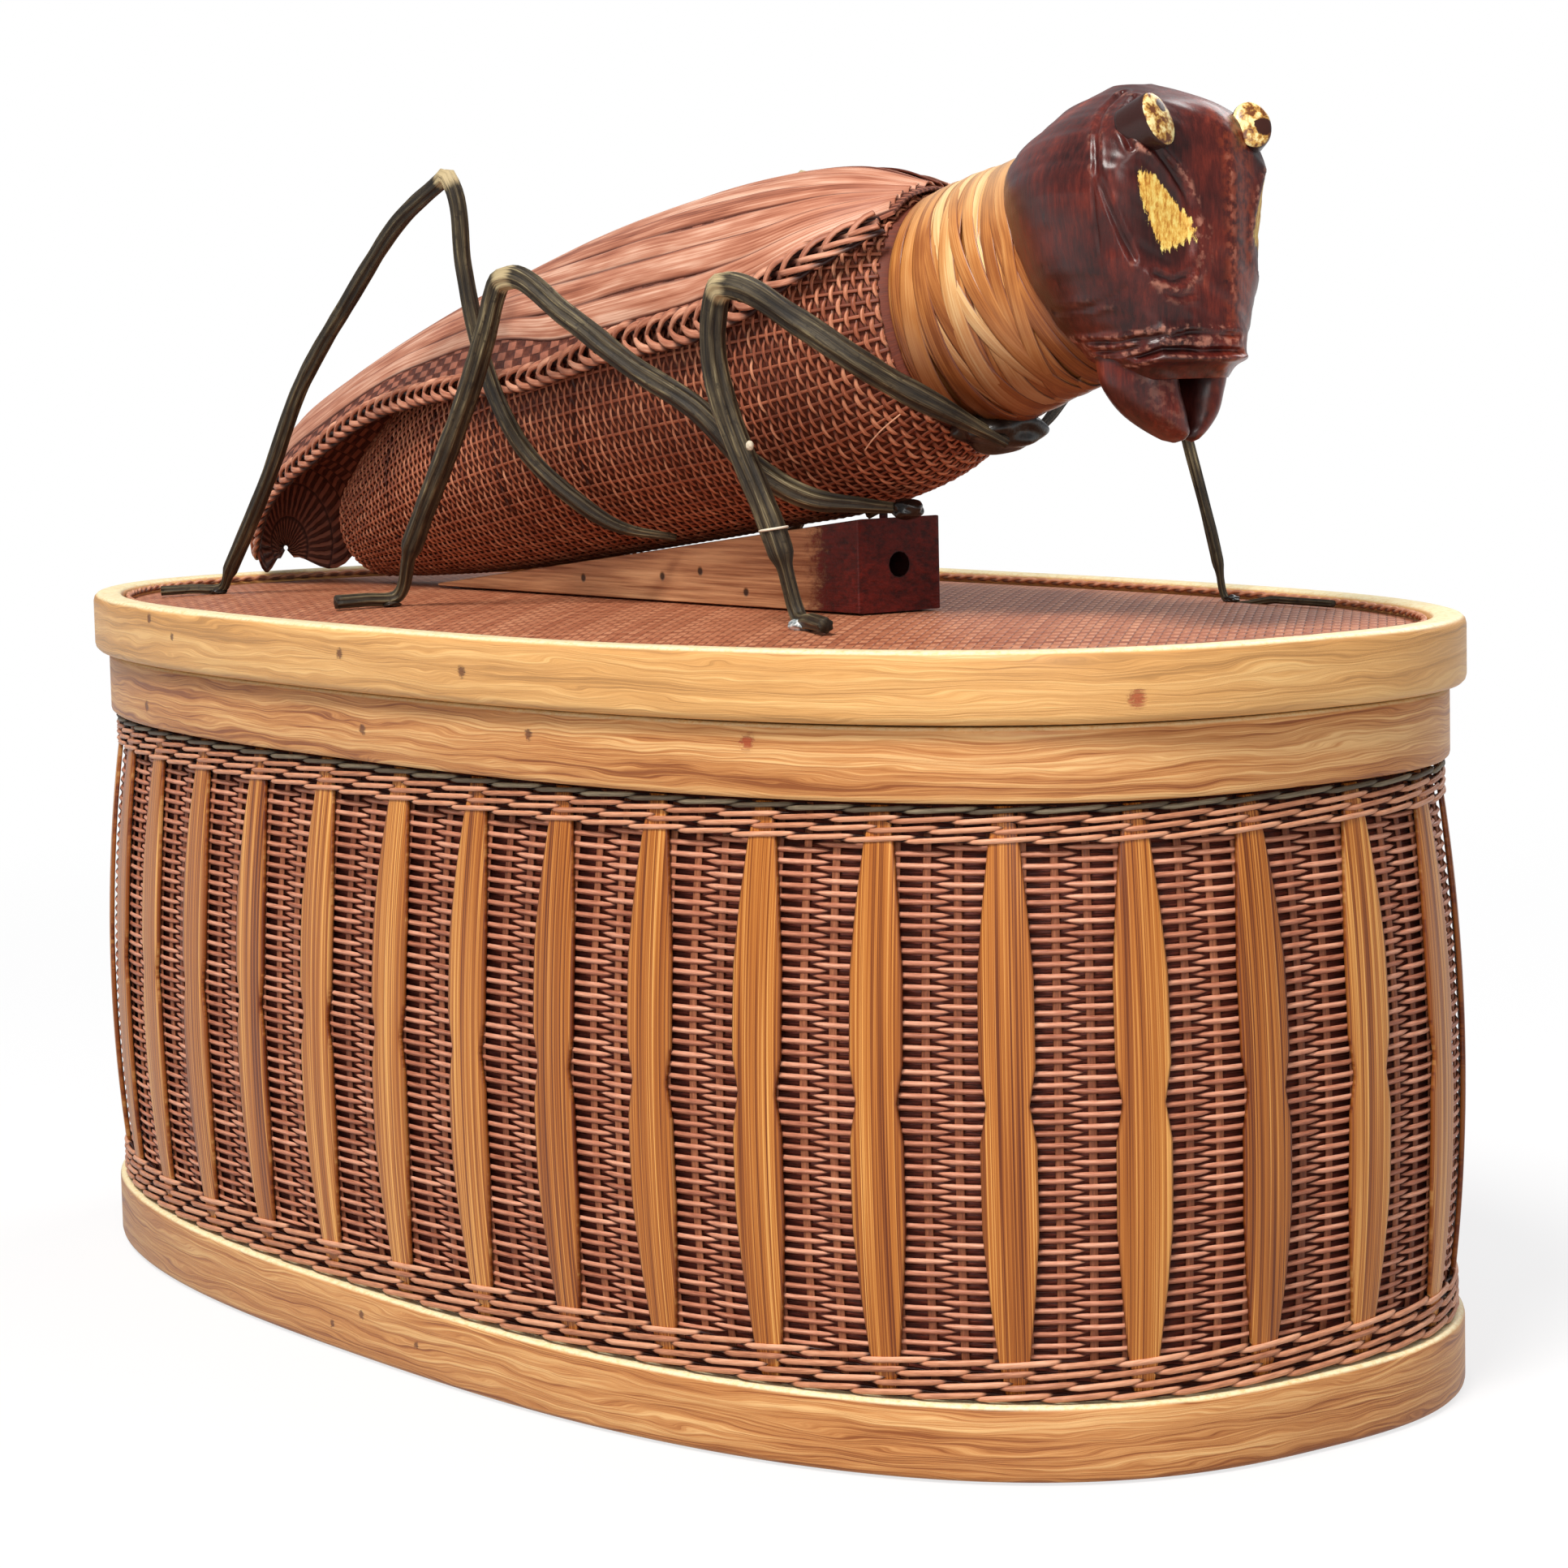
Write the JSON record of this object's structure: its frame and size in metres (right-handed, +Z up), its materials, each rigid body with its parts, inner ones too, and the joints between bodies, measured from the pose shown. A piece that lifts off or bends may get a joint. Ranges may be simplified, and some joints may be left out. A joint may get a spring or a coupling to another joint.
{
  "type": "woven bug box",
  "caption": "Oval woven bamboo box with waisted slats on its wall and a lift-off lid that carries a woven grasshopper with a carved head and folded stem legs.",
  "frame": {"origin": "middle of the oval basket, on the surface that it stands on", "axes": "+X along the oval's long axis, the way the grasshopper looks; -Y towards the grasshopper's right side; +Z up"},
  "size_m": [0.3198, 0.1694, 0.2158],
  "materials": {
    "hoop_bamboo": "bent split bamboo, clear varnish over fine fibre streaks",
    "slat_bamboo": "split bamboo, satin, with straight fibre streaks",
    "weave_bamboo": "fine reddish-brown bamboo strands, satin",
    "mat_bamboo": "twill mat of reddish split bamboo, satin",
    "wing_strip": "flat bamboo strips, dyed pinkish tan, satin",
    "neck_strip": "flat golden bamboo strip, glossy varnish",
    "head_lacquer": "carved wood, dark mahogany lacquer, worn at the edges",
    "eye_gilt": "painted wood, cream and gold, worn",
    "leg_stem": "dark olive-brown stem with ribs along it, satin",
    "leg_pitch": "black pitch, glossy",
    "block_wood": "light wood, dark red stain on its thick end, satin"
  },
  "bodies": {
    "basket": {"base_hoop": "hoop_bamboo", "rim_hoop": "hoop_bamboo", "basket_wall": "weave_bamboo", "basket_floor": "weave_bamboo", "base_lining": "hoop_bamboo", "mouth_collar": "hoop_bamboo", "slat_01": "slat_bamboo", "slat_02": "slat_bamboo", "slat_03": "slat_bamboo", "slat_04": "slat_bamboo", "slat_05": "slat_bamboo", "slat_06": "slat_bamboo", "slat_07": "slat_bamboo", "slat_08": "slat_bamboo", "slat_09": "slat_bamboo", "slat_10": "slat_bamboo", "slat_11": "slat_bamboo", "slat_12": "slat_bamboo", "slat_13": "slat_bamboo", "slat_14": "slat_bamboo", "slat_15": "slat_bamboo", "slat_16": "slat_bamboo", "slat_17": "slat_bamboo", "slat_18": "slat_bamboo", "slat_19": "slat_bamboo", "slat_20": "slat_bamboo", "slat_21": "slat_bamboo", "slat_22": "slat_bamboo", "slat_23": "slat_bamboo", "slat_24": "slat_bamboo", "slat_25": "slat_bamboo", "slat_26": "slat_bamboo", "slat_27": "slat_bamboo", "slat_28": "slat_bamboo", "slat_29": "slat_bamboo", "slat_30": "slat_bamboo", "slat_31": "slat_bamboo", "slat_32": "slat_bamboo", "slat_33": "slat_bamboo", "slat_34": "slat_bamboo", "slat_35": "slat_bamboo", "slat_36": "slat_bamboo"},
    "lid": {"lid_hoop": "hoop_bamboo", "lid_lining": "hoop_bamboo", "lid_panel": "mat_bamboo", "lid_bead": "mat_bamboo", "mounting_block": "block_wood", "abdomen": "weave_bamboo", "neck_winding": "neck_strip", "wing_shell": "wing_strip", "head": "head_lacquer", "eye_right": "eye_gilt", "eye_left": "eye_gilt", "front_leg_right": "leg_stem", "front_leg_left": "leg_stem", "middle_leg_right": "leg_stem", "middle_leg_left": "leg_stem", "rear_leg_right": "leg_stem", "rear_leg_left": "leg_stem", "leg_pitch": "leg_pitch"}
  },
  "joints": [
    {"name": "lid_lift", "type": "slide", "parent": "basket", "child": "lid", "axis": [0, 0, 1], "range_m": [0, 0.16]}
  ]
}
